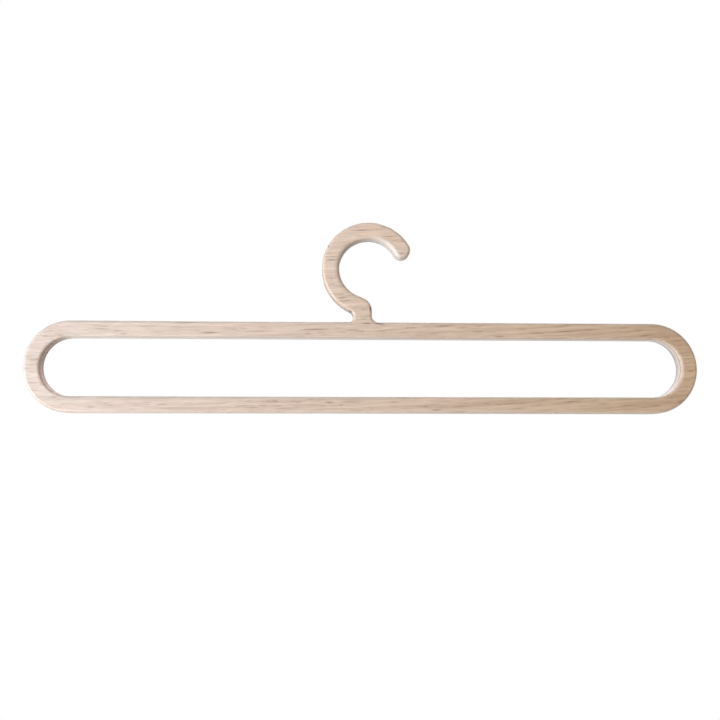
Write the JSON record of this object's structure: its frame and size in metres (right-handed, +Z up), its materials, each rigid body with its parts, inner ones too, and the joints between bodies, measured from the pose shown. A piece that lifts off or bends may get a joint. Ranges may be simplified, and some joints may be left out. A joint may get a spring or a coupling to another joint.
{
  "type": "scarf hanger",
  "caption": "Flat laminated wooden hanger: a long loop with round ends that scarves are drawn through, below an open round hook for a wardrobe rail.",
  "frame": {"origin": "middle of the hook's round throat, halfway through the board's thickness", "axes": "+X along the loop towards the side on which the hook is open, +Y through the board from the front face to the back face, +Z up"},
  "size_m": [0.45, 0.012, 0.129],
  "materials": {
    "oak_face_veneer": "pale oak veneer, fine sanded, bare or thinly waxed, level grain",
    "level_grain_ply": "pale hardwood core ply, edge sanded smooth, level grain",
    "upright_grain_ply": "pale hardwood core ply, edge sanded smooth, upright grain"
  },
  "bodies": {
    "root": {"front_face_veneer": "oak_face_veneer", "core_ply_1": "upright_grain_ply", "core_ply_2": "level_grain_ply", "core_ply_3": "upright_grain_ply", "core_ply_4": "level_grain_ply", "core_ply_5": "upright_grain_ply", "core_ply_6": "level_grain_ply", "core_ply_7": "upright_grain_ply", "back_face_veneer": "oak_face_veneer"}
  },
  "joints": []
}
